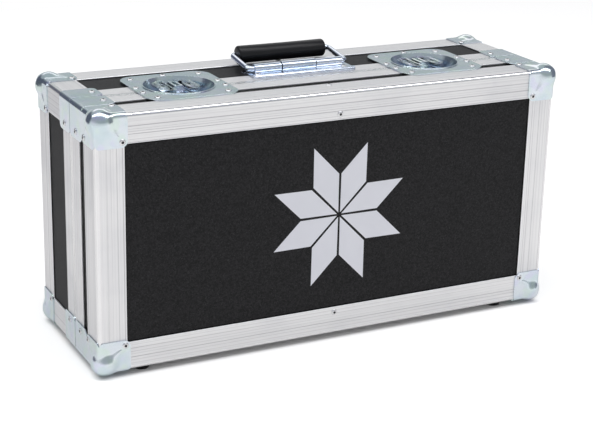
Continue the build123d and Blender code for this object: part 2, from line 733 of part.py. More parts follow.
# ---------------------------------------------------------------- rivets
def rivet(x, y, z, nx, ny, nz):
    """One pop rivet head on a surface, facing along the given normal."""
    with BuildSketch(Plane(origin=(x, y, z), z_dir=(nx, ny, nz))) as head:
        RegularPolygon(rivet_r, rivet_sides)
    extrude(head.sketch, amount=rivet_h, taper=rivet_taper)


corner_x = x_out - rivet_in
for shell, y_face, hand, y_brace, y_side in (
    ("lid", y_front, -1, (y_front + ball_leg + brace_gap + y_part - brace_line) / 2, y_part - latch_side_lid),
    ("base", y_back, 1, y_part + brace_line + base_brace_l / 2, y_part + latch_side_base),
):
    with BuildPart() as rivets:
        y_leg = y_face - hand * rivet_in
        for sx in (-1, 1):
            for z_edge, sz in ((z_low, -1), (z_top, 1)):
                z_in = z_edge - sz * rivet_in
                rivet(sx * corner_x, y_face + hand * sheet_t, z_in, 0, hand, 0)
                for y_at in (y_leg, y_brace):
                    rivet(sx * corner_x, y_at, z_edge + sz * sheet_t, 0, 0, sz)
                    rivet(sx * (x_out + sheet_t), y_at, z_in, sx, 0, 0)
            # latch plates
            for x_side in (-1, 1):
                x_far = sx * latch_offset + x_side * latch_rivet_x
                rivet(x_far, y_latch + hand * latch_rivet_y, z_top + sheet_t, 0, 0, 1)
                x_near = sx * latch_offset + x_side * latch_side_x
                rivet(x_near, y_side, z_top + sheet_t, 0, 0, 1)
            # hinge leaves
            for x_side in (-1, 0, 1):
                x_at = sx * hinge_offset + x_side * hinge_rivet_x
                rivet(x_at, y_part + hand * hinge_rivet_y, z_low - hinge_t, 0, 0, -1)
            # feet
            rivet(sx * (x_out - foot_from_end), y_face - hand * side_leg / 2, foot_h - foot_floor, 0, 0, -1)
            if shell == "base":
                rivet(sx * latch_offset, y_latch + latch_rear_y, z_top + sheet_t, 0, 0, 1)
                y_fore = y_barrel - bracket_front + bracket_rivet_front
                rivet(sx * bracket_rivet_x, y_fore, z_top + bracket_t, 0, 0, 1)
                y_rear = y_barrel + bracket_rear - bracket_rivet_rear
                rivet(sx * bracket_rivet_x, y_rear, z_top + bracket_t - board_in, 0, 0, 1)
        # middle of the long bars
        for z_edge, sz in ((z_low, -1), (z_top, 1)):
            rivet(0, y_face, z_edge - sz * face_rivet_in, 0, hand, 0)
            rivet(0, y_face - hand * leg_rivet_in, z_edge, 0, 0, sz)
    save(rivets, f"{shell}_rivets")
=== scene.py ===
import json
import math

import bmesh
import bpy
import numpy as np
from mathutils import Matrix, Vector

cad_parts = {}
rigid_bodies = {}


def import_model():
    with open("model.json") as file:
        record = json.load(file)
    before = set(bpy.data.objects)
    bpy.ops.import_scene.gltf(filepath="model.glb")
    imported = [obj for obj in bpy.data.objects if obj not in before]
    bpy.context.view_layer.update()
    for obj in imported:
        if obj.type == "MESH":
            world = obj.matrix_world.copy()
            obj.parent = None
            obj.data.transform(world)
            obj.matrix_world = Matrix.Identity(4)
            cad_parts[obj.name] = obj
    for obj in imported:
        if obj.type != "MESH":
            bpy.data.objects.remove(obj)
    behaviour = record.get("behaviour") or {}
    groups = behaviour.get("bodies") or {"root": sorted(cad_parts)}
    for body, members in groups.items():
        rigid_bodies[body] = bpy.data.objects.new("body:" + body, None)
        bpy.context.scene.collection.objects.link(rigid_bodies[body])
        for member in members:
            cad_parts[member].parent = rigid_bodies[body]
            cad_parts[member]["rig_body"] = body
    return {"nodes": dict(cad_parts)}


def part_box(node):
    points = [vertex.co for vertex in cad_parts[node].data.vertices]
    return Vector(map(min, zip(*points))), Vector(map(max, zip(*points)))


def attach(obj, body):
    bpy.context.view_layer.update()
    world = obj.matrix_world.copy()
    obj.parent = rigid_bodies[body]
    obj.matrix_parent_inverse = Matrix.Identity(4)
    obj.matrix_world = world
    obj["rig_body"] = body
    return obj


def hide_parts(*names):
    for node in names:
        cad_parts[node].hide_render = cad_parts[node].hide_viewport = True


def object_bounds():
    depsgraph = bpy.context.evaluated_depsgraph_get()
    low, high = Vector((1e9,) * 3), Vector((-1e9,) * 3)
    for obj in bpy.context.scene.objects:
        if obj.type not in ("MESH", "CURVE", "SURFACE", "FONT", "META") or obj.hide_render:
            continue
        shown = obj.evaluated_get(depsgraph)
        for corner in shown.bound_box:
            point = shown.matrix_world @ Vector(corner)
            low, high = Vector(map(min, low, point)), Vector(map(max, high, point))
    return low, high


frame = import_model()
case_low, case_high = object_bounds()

# ---------------------------------------------------------------- camera
# A long lens, a metre and a half in front of the lid and to its left, looks a little down
# on the standing case. It comes first, because everything else is judged through it.
picture_wide = 593
focal_pixels = 1529.0
sensor_wide = 36.0
camera_at = Vector((-0.7099, -1.3916, 0.6472))
turned_right = math.radians(26.92)
tipped_down = math.radians(18.79)
rolled = math.radians(1.33)

ahead = Vector(
    (
        math.sin(turned_right) * math.cos(tipped_down),
        math.cos(turned_right) * math.cos(tipped_down),
        -math.sin(tipped_down),
    )
)
level = Vector((math.cos(turned_right), -math.sin(turned_right), 0.0))
upright = level.cross(ahead)
to_right = level * math.cos(rolled) + upright * math.sin(rolled)
to_top = upright * math.cos(rolled) - level * math.sin(rolled)
lens = bpy.data.cameras.new("studio_camera")
lens.sensor_width = sensor_wide
lens.lens = focal_pixels / picture_wide * sensor_wide
camera = bpy.data.objects.new("studio_camera", lens)
turned = Matrix((to_right, to_top, -ahead)).transposed().to_4x4()
camera.matrix_world = Matrix.Translation(camera_at) @ turned
bpy.context.scene.collection.objects.link(camera)
bpy.context.scene.camera = camera


# ---------------------------------------------------------------- edge bars
# Double-angle extrusions hold the boards along every edge of lid and base. Mill-finish
# aluminium: the die leaves fine lines along each leg, and handling dulls it in patches.
class Wire:
    """A value in a finish. Arithmetic on it adds the Math nodes that work it out."""

    def __init__(self, finish, socket):
        self.finish = finish
        self.socket = socket

    def math(self, operation, *values):
        return self.finish.node("Math", {"operation": operation}, values)

    def __add__(self, other):
        return self.math("ADD", self, other)

    def __radd__(self, other):
        return self.math("ADD", other, self)

    def __sub__(self, other):
        return self.math("SUBTRACT", self, other)

    def __rsub__(self, other):
        return self.math("SUBTRACT", other, self)

    def __mul__(self, other):
        return self.math("MULTIPLY", self, other)

    def __rmul__(self, other):
        return self.math("MULTIPLY", other, self)

    def __truediv__(self, other):
        return self.math("DIVIDE", self, other)

    def __rtruediv__(self, other):
        return self.math("DIVIDE", other, self)

    def __mod__(self, other):
        return self.math("FLOORED_MODULO", self, other)

    def __rmod__(self, other):
        return self.math("FLOORED_MODULO", other, self)

    def __abs__(self):
        return self.math("ABSOLUTE", self)

    def step(self, start, end):
        """A smooth rise from 0 before start to 1 after end; start may be the larger."""
        ends = {"Value": self, "From Min": start, "From Max": end}
        return self.finish.node("MapRange", {"interpolation_type": "SMOOTHSTEP"}, ends)


class Finish:
    """The finish of a surface, laid on pieces as one material, or of the sky."""

    def __init__(self, name, kept=bpy.data.materials):
        self.material = kept.new(name)
        self.material.use_nodes = True
        self.tree = self.material.node_tree
        self.tree.nodes.clear()

    def node(self, kind, settings=None, sockets=(), output=0):
        """Adds a node: its settings first, then the value or link of each socket."""
        made = self.tree.nodes.new("ShaderNode" + kind)
        for key, value in (settings or {}).items():
            setattr(made, key, value)
        pairs = sockets.items() if isinstance(sockets, dict) else enumerate(sockets)
        for key, value in pairs:
            if isinstance(value, Wire):
                self.tree.links.new(value.socket, made.inputs[key])
            elif made.inputs[key].type == "RGBA":
                made.inputs[key].default_value = (*value, 1.0)
            else:
                made.inputs[key].default_value = value
        return Wire(self, made.outputs[output]) if made.outputs else made

    def place(self):
        """Where a point lies on the piece, in metres."""
        return self.node("TexCoord", output="Object")

    def parts(self, vector):
        """The three parts of a vector."""
        return [self.node("SeparateXYZ", None, [vector], axis) for axis in "XYZ"]

    def grain(self, at, size, stretch=(1, 1, 1), detail=2.0, roughness=0.5):
        """Noise from 0 to 1 with features of a size in metres, drawn out along each axis."""
        scale = tuple(1.0 / (size * way) for way in stretch)
        scaled = self.node("VectorMath", {"operation": "MULTIPLY"}, [at, scale])
        knobs = {"Vector": scaled, "Scale": 1.0, "Detail": detail, "Roughness": roughness}
        return self.node("TexNoise", None, knobs)

    def mix(self, amount, first, second):
        """A colour between two, by an amount from 0 to 1."""
        return self.node("Mix", {"data_type": "RGBA"}, {0: amount, 6: first, 7: second}, 2)

    def relief(self, height, depth):
        """A normal for relief whose height runs from 0 to 1 over a depth in metres."""
        return self.node("Bump", None, {"Distance": depth, "Height": height}, "Normal")

    def shade(self, **knobs):
        """Closes the finish with a Principled shader; its socket names are written with _."""
        named = {key.replace("_", " "): value for key, value in knobs.items()}
        shader = self.node("BsdfPrincipled", None, named)
        self.node("OutputMaterial", None, {"Surface": shader})
        return self.material


def piece(name, body, slot, *materials):
    """An object with an empty mesh that rides a body and takes the finishes it is given; the
    slot is not used.
    """
    mesh = bpy.data.meshes.new(name)
    for material in materials:
        mesh.materials.append(material)
    made = bpy.data.objects.new(name, mesh)
    bpy.context.scene.collection.objects.link(made)
    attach(made, body)
    return made


def close(made, worked, crisp=40.0):
    """Puts a bmesh into a piece, smooth but for folds sharper than an angle in degrees."""
    worked.to_mesh(made.data)
    worked.free()
    made.data.shade_smooth()
    made.data.set_sharp_from_angle(angle=math.radians(crisp))


weld = 1e-6
flat_within = math.radians(0.5)
edge_beyond = math.radians(32)


def softened(node, slot, width, *materials):
    """A CAD node's solids with their edges eased by a width, in place of the node."""
    source = frame["nodes"][node]
    worked = bmesh.new()
    worked.from_mesh(source.data)
    bmesh.ops.remove_doubles(worked, verts=worked.verts, dist=weld)
    flats = {"verts": worked.verts, "edges": worked.edges}
    bmesh.ops.dissolve_limit(worked, angle_limit=flat_within, **flats)
    crisp = [edge for edge in worked.edges if edge.calc_face_angle(0.0) > edge_beyond]
    bmesh.ops.bevel(
        worked,
        geom=crisp,
        offset=width,
        segments=2,
        profile=0.5,
        affect="EDGES",
        clamp_overlap=True,
    )
    made = piece(node + "_eased", source["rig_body"], slot, *materials)
    close(made, worked)
    # the flats stay flat to the eye, and all of the turning lies in the eased edges
    evened = made.modifiers.new("flats_stay_flat", "WEIGHTED_NORMAL")
    evened.keep_sharp = True
    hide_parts(node)
    return made


def lay(material, *names):
    """Puts a finish on CAD nodes as they stand."""
    for name in names:
        mesh = frame["nodes"][name].data
        mesh.materials.clear()
        mesh.materials.append(material)


bars_low, bars_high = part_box("lid_depth_bars")
wide_half = bars_high.x
high_half = (bars_high.z - bars_low.z) / 2
mid_z = (bars_high.z + bars_low.z) / 2
deep_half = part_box("base_back_bar_top")[1].y
bar_ease = 0.0005
face_leg = 0.030
side_leg = 0.032

bar_bright = (0.88, 0.875, 0.875)
bar_line = (0.50, 0.485, 0.50)
bar_smudge = (0.80, 0.80, 0.815)
bar_cut = (0.96, 0.96, 0.97)
parting_shade_colour = (0.10, 0.10, 0.105)
drawn_out = 400.0
line_pitch = {"X": 0.0031, "Y": 0.0031, "Z": 0.0050}
line_wander = 1.6
line_soft = 0.34
line_share = 0.85
line_deep = 0.00018
wander_size = 0.006
strength_size = 0.0045
streak_size = 0.0008
streak_share = 0.22
smudge_size = 0.05
smudge_share = 0.5
cut_wide = 0.0009
nose_from = 0.0050
nose_full = 0.0032
nose_shine = 0.55
mill_dull = 0.43


def bar_finish(name, run, leg, ends, seam_shade=0.0):
    """Mill finish of bars that run along one axis. The leg function gives the distance
    from their edge, and ends gives each distance and where the leg's cut edge lies, which gets
    a painted highlight. Painted shade fills a seam of some width along the edge itself."""
    finish = Finish(name)
    at = finish.place()
    x, y, z = finish.parts(at)
    along = tuple(drawn_out if axis == run else 1.0 for axis in "XYZ")
    away = leg(x, y, z)
    rows = away / line_pitch[run] + finish.grain(at, wander_size, along, 0.0) * line_wander
    die_line = abs(rows % 1.0 - 0.5).step(line_soft, 0.5)
    strength = finish.grain(at, strength_size, along, 1.0).step(0.35, 0.7)
    streak = finish.grain(at, streak_size, along, 2.0, 0.7).step(0.3, 0.75)
    smudge = finish.grain(at, smudge_size, detail=3.0).step(0.45, 0.75)
    metal = finish.mix(smudge * smudge_share, bar_bright, bar_smudge)
    metal = finish.mix(streak * streak_share, metal, bar_line)
    metal = finish.mix(die_line * (strength * 0.75 + 0.25) * line_share, metal, bar_line)
    # a painted highlight along the cut edge of each leg stands for the light that edge would
    # catch
    cut = sum(
        part(x, y, z).step(reach - cut_wide, reach - cut_wide * 0.6) for part, reach in ends
    )
    metal = finish.mix(cut, metal, bar_cut)
    # painted shade in a seam along the edge itself, for the parting gap between the rims
    metal = finish.mix(away.step(seam_shade, seam_shade * 0.5) if seam_shade else 0.0, metal, parting_shade_colour)
    # the rolled nose of a bar is rubbed brighter than its legs
    nose = away.step(nose_from, nose_full)
    dull = (mill_dull + streak * 0.08 + smudge * 0.07) * (1.0 - nose * nose_shine)
    lines = finish.relief(1.0 - die_line * strength, line_deep)
    return finish.shade(Base_Color=metal, Metallic=1.0, Roughness=dull, Normal=lines)


def from_side(x, y, z):
    return wide_half - abs(x)


def from_end(x, y, z):
    return high_half - abs(z - mid_z)


def from_face(x, y, z):
    return deep_half - abs(y)


def both(first, second):
    """The distance along either of a bar's two legs, on which the other distance is 0."""
    return lambda x, y, z: first(x, y, z) + second(x, y, z)


end_cut = (from_end, face_leg)
side_cut = (from_side, face_leg)
face_cut = (from_face, side_leg)
long_bar_finish = bar_finish(
    "bar_along_width", "X", both(from_face, from_end), [end_cut, face_cut]
)
upright_bar_finish = bar_finish(
    "bar_along_height", "Z", both(from_face, from_side), [side_cut, face_cut]
)
depth_bar_finish = bar_finish(
    "bar_along_depth", "Y", both(from_side, from_end), [side_cut, end_cut]
)
for shell in ("lid_front_bar", "base_back_bar"):
    for run in ("_top", "_bottom"):
        softened(shell + run, "aluminium_bar", bar_ease, long_bar_finish)
    for run in ("_left", "_right"):
        softened(shell + run, "aluminium_bar", bar_ease, upright_bar_finish)
for shell in ("lid", "base"):
    softened(shell + "_depth_bars", "aluminium_bar", bar_ease, depth_bar_finish)

# ---------------------------------------------------------------- rims
# A tongued extrusion round the base meets a grooved one round the lid. The same alloy and
# finish as the edge bars, with lines that follow the parting line.
rim_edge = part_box("lid_rim_ends")[1].y
rim_leg = 0.024
# width of the painted shade in the parting gap
parting_shade_wide = 0.0005


def from_rim(x, y, z):
    return abs(y - rim_edge)


rim_cut = (from_rim, rim_leg)
rim_long_finish = bar_finish("rim_along_width", "X", from_rim, [rim_cut], parting_shade_wide)
rim_end_finish = bar_finish("rim_along_height", "Z", from_rim, [rim_cut], parting_shade_wide)
for shell in ("lid", "base"):
    for run in ("_rim_top", "_rim_bottom"):
        softened(shell + run, "aluminium_bar", bar_ease, rim_long_finish)
    softened(shell + "_rim_ends", "aluminium_bar", bar_ease, rim_end_finish)

# ---------------------------------------------------------------- boards
# Seven millimetre birch ply faced with black laminate, slid into the bars. The laminate
# has a fine pebbled grain that scatters light and keeps the black a little grey.
pebble_size = 0.0019
pebble_deep = 0.00025
fleck_size = 0.0008
cloud_size = 0.04
pebble_dark = (0.0015, 0.0015, 0.002)
pebble_grey = (0.015, 0.0145, 0.016)
fleck_grey = (0.05, 0.05, 0.053)
fleck_share = 0.6
entry_shadow_black = (0.0004, 0.0004, 0.0004)
entry_shadow_lines = (
    (side_cut, 0.0014),
    (end_cut, 0.0014),
    (face_cut, 0.0020),
    (rim_cut, 0.0032),
)
laminate_dull = 0.52
laminate_gleam = 0.24

laminate = Finish("black_laminate")
at = laminate.place()
x, y, z = laminate.parts(at)
pebble = laminate.grain(at, pebble_size, detail=3.0, roughness=0.6)
cloud = laminate.grain(at, cloud_size)
fleck = laminate.grain(at, fleck_size, detail=0.0).step(0.66, 0.8)
black = laminate.mix(pebble.step(0.34, 0.68), pebble_dark, pebble_grey)
black = laminate.mix(fleck * fleck_share, black, fleck_grey)
# a painted shadow line, of its own width at each edge, darkens a board where it enters its
# bars
entry_shadow = None
for (part, reach), wide in entry_shadow_lines:
    line = abs(part(x, y, z) - reach).step(wide, wide * 0.6)
    entry_shadow = line.math("MAXIMUM", entry_shadow, line) if entry_shadow else line
black = laminate.mix(entry_shadow, black, entry_shadow_black)
laminate_finish = laminate.shade(
    Base_Color=black,
    Roughness=laminate_dull + cloud * 0.08 + entry_shadow * 0.3,
    Specular_IOR_Level=laminate_gleam,
    Normal=laminate.relief(pebble, pebble_deep),
)
boards = [name for name in frame["nodes"] if "_panel_" in name]
lay(laminate_finish, *boards)

# ---------------------------------------------------------------- ball corners
# Zinc-plated steel pressed into three flats and a ball, so that drops land on steel. The
# press draws the sheet out of the ball in three ridges that fade towards the rivets.
zinc_blue = (0.64, 0.74, 0.78)
zinc_pale = (0.74, 0.79, 0.84)
zinc_green = (0.68, 0.79, 0.74)
zinc_violet = (0.70, 0.71, 0.86)
green_share = 0.8
violet_share = 0.7
drift_size = 0.022
tint_size = 0.013
scuff_size = 0.0009
scuff_stretch = (7, 1, 3)
scuff_deep = 0.00001
scuff_dull = 0.07
zinc_dull = 0.17


def zinc_plating(finish, at):
    """The blue-white of bright zinc with its greenish and violet drifts, and its scuffs."""
    drift = finish.grain(at, drift_size)
    tint = finish.grain(at, tint_size, detail=1.0)
    colour = finish.mix(drift.step(0.35, 0.65), zinc_blue, zinc_pale)
    colour = finish.mix(tint.step(0.48, 0.70) * green_share, colour, zinc_green)
    colour = finish.mix(tint.step(0.45, 0.25) * violet_share, colour, zinc_violet)
    return colour, finish.grain(at, scuff_size, scuff_stretch, roughness=0.7)


zinc = Finish("bright_zinc")
plating, scuff = zinc_plating(zinc, zinc.place())
zinc_finish = zinc.shade(
    Base_Color=plating,
    Metallic=1.0,
    Roughness=zinc_dull + scuff.step(0.35, 0.8) * scuff_dull,
    Normal=zinc.relief(scuff, scuff_deep),
)

plate_reach = 0.033
plate_tip = 0.007
plate_cells = 34
sheet = 0.0012
drawn_sheet = sheet * 0.95
bend_in = 0.004
ball_in = 0.009
ball_at = np.full(3, ball_in)
ball_r = 0.014
ridge_root = 0.005
ridge_root_r = 0.0115
ridge_tip_r = 0.0004
ridge_tip = 0.0225
press_blend = 0.0018
flat_blend = 0.0026
halvings = 34


def smooth_least(first, second, blend):
    """The smaller of two distances, with a fillet where they cross."""
    near = np.maximum(blend - np.abs(first - second), 0.0) / blend
    return np.minimum(first, second) - near * near * blend / 4


def corner_surface(points):
    """Signed distance from the pressed surface; the case's corner is at the origin."""
    beyond = bend_in - points
    flats = np.linalg.norm(np.maximum(beyond, 0), axis=1)
    flats += np.minimum(beyond.max(axis=1), 0) - (bend_in + sheet)
    pressed = np.linalg.norm(points - ball_at, axis=1) - ball_r
    for flat in range(3):
        tip = np.full(3, ridge_tip)
        tip[flat] = -sheet
        way = tip - ball_at
        length = np.linalg.norm(way)
        way = way / length
        along = np.clip((points - ball_at) @ way, ridge_root, length)
        share = (along - ridge_root) / (length - ridge_root)
        radius = ridge_root_r + (ridge_tip_r - ridge_root_r) * share
        ridge = np.linalg.norm(points - ball_at - np.outer(along, way), axis=1) - radius
        pressed = smooth_least(pressed, ridge, press_blend)
    return smooth_least(flats, pressed, flat_blend)


def corner_points():
    """One corner's three flats as points pressed onto the surface, and their faces."""
    seeds = []
    faces = []
    steps = np.linspace(0.0, 1.0, plate_cells + 1)
    row = plate_cells + 1
    round_from = plate_reach - plate_tip
    for flat in range(3):
        first = len(seeds)
        for across in steps:
            for up in steps:
                place = np.full(3, -sheet)
                u = -sheet + across * (plate_reach + sheet)
                v = -sheet + up * (plate_reach + sheet)
                if u > round_from and v > round_from:
                    a = (u - round_from) / plate_tip
                    b = (v - round_from) / plate_tip
                    u = round_from + plate_tip * a * math.sqrt(1 - b * b / 2)
                    v = round_from + plate_tip * b * math.sqrt(1 - a * a / 2)
                place[(flat + 1) % 3] = u
                place[(flat + 2) % 3] = v
                seeds.append(place)
        for i in range(plate_cells):
            for j in range(plate_cells):
                here = first + i * row + j
                faces.append((here, here + row, here + row + 1, here + 1))
    # each point slides out from the ball's middle until it meets the surface
    ways = np.array(seeds) - ball_at
    reach = np.linalg.norm(ways, axis=1)[:, None]
    ways = ways / reach
    low = np.zeros_like(reach)
    high = reach + ball_r
    for _ in range(halvings):
        middle = (low + high) / 2
        inside = corner_surface(ball_at + ways * middle)[:, None] < 0
        low = np.where(inside, middle, low)
        high = np.where(inside, high, middle)
    return ball_at + ways * low, faces


pressed_points, pressed_faces = corner_points()
for shell in ("lid", "base"):
    low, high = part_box(shell + "_ball_corners")
    face_y = low.y + ball_r - ball_in if shell == "lid" else high.y - ball_r + ball_in
    side_x = high.x - ball_r + ball_in
    end_z = (low.z + ball_r - ball_in, high.z - ball_r + ball_in)
    worked = bmesh.new()
    for place in ((x, face_y, z) for x in (-side_x, side_x) for z in end_z):
        outward = np.array([np.sign(place[0]), np.sign(face_y), 1 if place[2] > mid_z else -1])
        corner = bmesh.new()
        verts = [corner.verts.new(np.array(place) - outward * p) for p in pressed_points]
        for face in pressed_faces:
            corner.faces.new([verts[i] for i in (face if outward.prod() > 0 else face[::-1])])
        bmesh.ops.remove_doubles(corner, verts=corner.verts, dist=weld)
        bmesh.ops.solidify(corner, geom=corner.faces[:], thickness=drawn_sheet)
        pressing = bpy.data.meshes.new("pressing")
        corner.to_mesh(pressing)
        corner.free()
        worked.from_mesh(pressing)
    made = piece(shell + "_ball_corner_pressings", shell, "zinc_steel", zinc_finish)
    close(made, worked)
    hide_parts(shell + "_ball_corners")

# ---------------------------------------------------------------- corner braces
# Angles of the same zinc-plated sheet, blanked and folded, then wrapped round each rim's
# mitres and riveted. The tumbler rounds their edges.
sheet_ease = 0.0003
for shell in ("lid", "base"):
    softened(shell + "_corner_braces", "zinc_steel", sheet_ease, zinc_finish)

# ---------------------------------------------------------------- latch pockets
# Each plate and its round pocket are drawn from one sheet and sawn apart at the parting
# line: a keeper with its strike on the lid, a dish with the slide's guides on the base.
# Both are zinc plated; deeper in the pocket the zinc takes a painted blue and violet shade and
# reflection.
plate_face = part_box("latch_dish_left")[1].z
pocket_shade_from = 0.0018
pocket_shade_full = 0.0110
pocket_shade_size = 0.012
pocket_shade_blue = (0.38, 0.48, 0.60)
pocket_shade_violet = (0.52, 0.47, 0.61)
pocket_shade_share = 0.8
pocket_dull = 0.15

shaded_pocket = Finish("zinc_with_painted_pocket_shade")
at = shaded_pocket.place()
down = plate_face - shaded_pocket.parts(at)[2]
plating, scuff = zinc_plating(shaded_pocket, at)
# painted shade and reflection: the zinc turns blue and violet with depth below the plate face
patch = shaded_pocket.grain(at, pocket_shade_size, detail=1.0).step(0.46, 0.62)
pocket_shade = shaded_pocket.mix(patch, pocket_shade_blue, pocket_shade_violet)
shaded_pocket_finish = shaded_pocket.shade(
    Base_Color=shaded_pocket.mix(down.step(pocket_shade_from, pocket_shade_full) * pocket_shade_share, plating, pocket_shade),
    Metallic=1.0,
    Roughness=pocket_dull + scuff.step(0.35, 0.8) * scuff_dull,
    Normal=shaded_pocket.relief(scuff, scuff_deep),
)
for side in ("left", "right"):
    softened("latch_dish_" + side, "zinc_steel", sheet_ease, shaded_pocket_finish)
    softened("latch_keeper_" + side, "zinc_steel", sheet_ease, shaded_pocket_finish)

# ---------------------------------------------------------------- latch mechanism
# The butterfly's ears, flange and eccentric turn on a riveted spindle and push a slide to
# and fro, and a hook hangs on the slide. All are stampings, deburred and zinc plated.
stamped_ease = 0.00018
for side in ("left", "right"):
    for stamping in ("rotor", "draw_plate", "hook"):
        softened(f"latch_{stamping}_{side}", "zinc_steel", stamped_ease, zinc_finish)
    lay(zinc_finish, "latch_hook_pin_" + side, "latch_wing_pins_" + side)

# ---------------------------------------------------------------- latch wings
# Two pressed wings turn each butterfly. A bead stiffens the edge, the field is sunk inside
# it and a long dimple for the finger rises again in the middle; the inner end is rolled
# into a knuckle round the pin.
wing_round = 0.011
wing_sheet = 0.0011
wing_columns = 26
wing_rows = 56
wing_over_pin = 0.0009
bead_wide = 0.0019
bead_fall = 0.0016
bead_high = 0.00022
field_deep = 0.0009
dimple_half = (0.0036, 0.0105)
dimple_high = 0.00075
dimple_end = 1.35
strap_half = 0.0078
strap_long = 0.0033
strap_step = 0.0012
strap_lap = 0.0004
strap_rows = 8
knuckle_turns = 20
knuckle_ease = 0.0003


def ease(amount):
    """A smooth rise from 0 to 1."""
    amount = min(max(amount, 0.0), 1.0)
    return amount * amount * (3.0 - 2.0 * amount)


def wing_relief(x, y, inner, outer, half):
    """Height of a wing's upper side under its bead, from its place in the outline."""
    corner_x = outer - wing_round
    corner_y = half - wing_round
    if x > corner_x and abs(y) > corner_y:
        edge = wing_round - math.hypot(x - corner_x, abs(y) - corner_y)
    else:
        edge = min(outer - x, half - abs(y))
    edge = min(edge, x - inner + bead_wide)
    field = ease((edge - bead_wide) / bead_fall)
    middle = (inner + outer) / 2
    across = math.hypot((x - middle) / dimple_half[0], y / dimple_half[1])
    bead = bead_high * math.sin(math.pi * min(max(edge / bead_wide, 0.0), 1.0))
    return bead - field_deep * field + dimple_high * ease(dimple_end - across)


def skin(worked, rows, turned=False, around=False):
    """Faces between each row of points and the next; rows that go around close up."""
    for first, second in zip(rows, rows[1:]):
        for k in range(len(first) - (not around)):
            after = (k + 1) % len(first)
            face = (first[k], second[k], second[after], first[after])
            worked.faces.new(face[::-1] if turned else face)


for side in ("left", "right"):
    for wing, hand in (("a", -1), ("b", 1)):
        name = f"latch_wing_{side}_{wing}"
        low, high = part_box(name)
        pin_low, pin_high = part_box("latch_wing_pins_" + side)
        axle = (pin_low.x + pin_high.x) / 2
        mid_y = (low.y + high.y) / 2
        outer = max(abs(low.x - axle), abs(high.x - axle))
        half = (high.y - low.y) / 2
        knuckle = (high.z - low.z) / 2
        pin_z = (high.z + low.z) / 2
        pin_x = outer - (high.x - low.x) + knuckle
        inner = pin_x + strap_long
        upper_z = pin_z + wing_over_pin - bead_high
        worked = bmesh.new()
        rows = []
        for column in range(wing_columns + 1):
            x = inner + (outer - inner) * column / wing_columns
            reach = half
            if x > outer - wing_round:
                reach += math.sqrt(wing_round**2 - (x - outer + wing_round) ** 2) - wing_round
            row = []
            for k in range(wing_rows + 1):
                y = reach * (2 * k / wing_rows - 1)
                z = upper_z + wing_relief(x, y, inner, outer, half)
                row.append(worked.verts.new((axle + hand * x, mid_y + y, z)))
            rows.append(row)
        # a strap runs from the wing to the knuckle
        straps = []
        for x in (pin_x, pin_x + strap_step, inner + strap_lap):
            strap = []
            for k in range(strap_rows + 1):
                y = strap_half * (2 * k / strap_rows - 1)
                strap.append(worked.verts.new((axle + hand * x, mid_y + y, upper_z)))
            straps.append(strap)
        skin(worked, rows, turned=hand < 0)
        skin(worked, straps, turned=hand < 0)
        bmesh.ops.solidify(worked, geom=worked.faces[:], thickness=wing_sheet)
        # the knuckle is a short roll with eased ends
        eased_half = strap_half - knuckle_ease
        ends = []
        for y in (-strap_half, -eased_half, eased_half, strap_half):
            radius = knuckle - knuckle_ease if abs(y) == strap_half else knuckle
            ring = []
            for turn in range(knuckle_turns):
                angle = 2 * math.pi * turn / knuckle_turns
                x = axle + hand * pin_x + radius * math.cos(angle)
                ring.append(worked.verts.new((x, mid_y + y, pin_z + radius * math.sin(angle))))
            ends.append(ring)
        for first, second in zip(ends, ends[1:]):
            for k in range(knuckle_turns):
                after = (k + 1) % knuckle_turns
                worked.faces.new((first[k], first[after], second[after], second[k]))
        worked.faces.new(ends[0][::-1])
        worked.faces.new(ends[-1])
        bmesh.ops.recalc_face_normals(worked, faces=worked.faces)
        body = frame["nodes"][name]["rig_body"]
        made = piece(name + "_pressing", body, "zinc_steel", zinc_finish)
        close(made, worked)
        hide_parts(name)

# ---------------------------------------------------------------- handle
# A strip of steel rolled round the bail's ends in three lengths, and a bail bent from rod.
# Both are bright plated with a blue passivated film, which tints what they mirror.
film_blue = (0.64, 0.72, 0.82)
film_pale = (0.74, 0.78, 0.87)
film_size = 0.018
rub_size = 0.0011
rub_stretch = (9, 1, 1)
rub_deep = 0.00001
rub_dull = 0.09
plate_dull = 0.13

plated = Finish("blue_bright_plate")
at = plated.place()
film = plated.grain(at, film_size, (2, 1, 1))
rub = plated.grain(at, rub_size, rub_stretch, roughness=0.7)
plated_finish = plated.shade(
    Base_Color=plated.mix(film.step(0.35, 0.65), film_blue, film_pale),
    Metallic=1.0,
    Roughness=plate_dull + rub.step(0.35, 0.8) * rub_dull,
    Normal=plated.relief(rub, rub_deep),
)
softened("handle_bracket", "chromed_steel", sheet_ease, plated_finish)
lay(plated_finish, "handle_bail")

# ---------------------------------------------------------------- feet
# Four round feet of black rubber, moulded with a soft edge and riveted to the hinge side,
# where the case stands on them.
rubber_black = (0.004, 0.004, 0.005)
rubber_grey = (0.009, 0.009, 0.010)
bloom_size = 0.012
pore_size = 0.0008
pore_deep = 0.00008
rubber_dull = 0.30
rubber_gleam = 0.34
bloom_dull = 0.12
foot_ease = 0.0006

rubber = Finish("black_rubber")
at = rubber.place()
bloom = rubber.grain(at, bloom_size, detail=3.0)
pore = rubber.grain(at, pore_size)
rubber_finish = rubber.shade(
    Base_Color=rubber.mix(bloom, rubber_black, rubber_grey),
    Roughness=rubber_dull + bloom * bloom_dull,
    Specular_IOR_Level=rubber_gleam,
    Normal=rubber.relief(pore, pore_deep),
)
for shell in ("lid", "base"):
    softened(shell + "_feet", "black_rubber", foot_ease, rubber_finish)

# ---------------------------------------------------------------- grip
# A sleeve of the same rubber, pushed over the bail's rod before the rod is bent. Its mould
# comes apart in two halves and leaves a parting seam along both sides.
grip_low, grip_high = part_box("handle_grip")
grip_mid = (grip_low + grip_high) / 2
grip_half = (grip_high.x - grip_low.x) / 2
grip_r = (grip_high.z - grip_low.z) / 2
grip_bore = 0.0031
grip_turns = 72
seam_high = 0.00012
